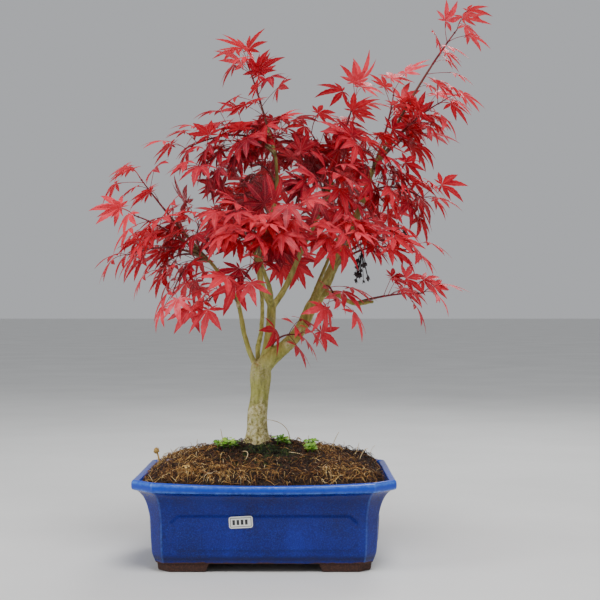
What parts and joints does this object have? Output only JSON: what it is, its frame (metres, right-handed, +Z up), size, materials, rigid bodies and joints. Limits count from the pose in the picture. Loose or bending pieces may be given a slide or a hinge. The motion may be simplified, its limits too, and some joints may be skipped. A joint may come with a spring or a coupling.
{
  "type": "potted bonsai maple",
  "caption": "Leaning red-leaved Japanese maple bonsai growing from a mossy soil mound in a flared rectangular glazed ceramic pot with cut corners and feet.",
  "frame": {"origin": "on the surface the pot stands on, under the middle of the whole plant's bounding box; the pot's own middle is 31 mm towards -X from it", "axes": "+Z up along the trunk, +X to the right along the pot's long side and towards the leaning limb, +Y to the back across the pot"},
  "size_m": [0.4407, 0.3016, 0.6221],
  "materials": {
    "cobalt_glaze": "gloss",
    "soil_and_fibre": "matte",
    "maple_bark": "matte",
    "white_paper": "satin",
    "black_netting": "matte",
    "dark_moss": "matte",
    "dry_straw": "matte",
    "purple_stone": "matte",
    "red_leaf": "satin",
    "seedling_green": "satin",
    "dried_flower": "matte"
  },
  "bodies": {
    "root": {"dead_leaf": "dry_straw", "drain_screen_left": "black_netting", "drain_screen_right": "black_netting", "dry_flowers_1": "dried_flower", "dry_flowers_2": "dried_flower", "dry_stalk": "dry_straw", "label": "white_paper", "moss_cushion": "dark_moss", "pebble": "purple_stone", "pot": "cobalt_glaze", "seedling_1": "seedling_green", "seedling_2": "seedling_green", "seedling_3": "seedling_green", "soil_mound": "soil_and_fibre", "spray_back_1": "red_leaf", "spray_back_2": "red_leaf", "spray_back_3": "red_leaf", "spray_back_right_1": "red_leaf", "spray_back_right_2": "red_leaf", "spray_front_right_1": "red_leaf", "spray_front_right_2": "red_leaf", "spray_front_right_3": "red_leaf", "spray_front_right_4": "red_leaf", "spray_left_1": "red_leaf", "spray_left_2": "red_leaf", "spray_left_3": "red_leaf", "spray_left_4": "red_leaf", "spray_left_5": "red_leaf", "spray_left_6": "red_leaf", "spray_left_7": "red_leaf", "spray_left_8": "red_leaf", "spray_left_9": "red_leaf", "spray_middle_1": "red_leaf", "spray_middle_front_1": "red_leaf", "spray_middle_front_2": "red_leaf", "spray_middle_front_3": "red_leaf", "spray_middle_front_4": "red_leaf", "spray_middle_left_1": "red_leaf", "spray_middle_left_2": "red_leaf", "spray_middle_left_3": "red_leaf", "spray_middle_left_4": "red_leaf", "spray_middle_left_5": "red_leaf", "spray_middle_left_6": "red_leaf", "spray_middle_left_7": "red_leaf", "spray_middle_right_1": "red_leaf", "spray_middle_right_2": "red_leaf", "spray_middle_right_3": "red_leaf", "spray_middle_right_4": "red_leaf", "spray_middle_right_5": "red_leaf", "spray_right_1": "red_leaf", "spray_right_2": "red_leaf", "spray_right_3": "red_leaf", "spray_right_4": "red_leaf", "spray_right_5": "red_leaf", "spray_right_6": "red_leaf", "spray_right_7": "red_leaf", "spray_right_8": "red_leaf", "spray_right_low_1": "red_leaf", "trunk_and_branches": "maple_bark"}
  },
  "joints": []
}
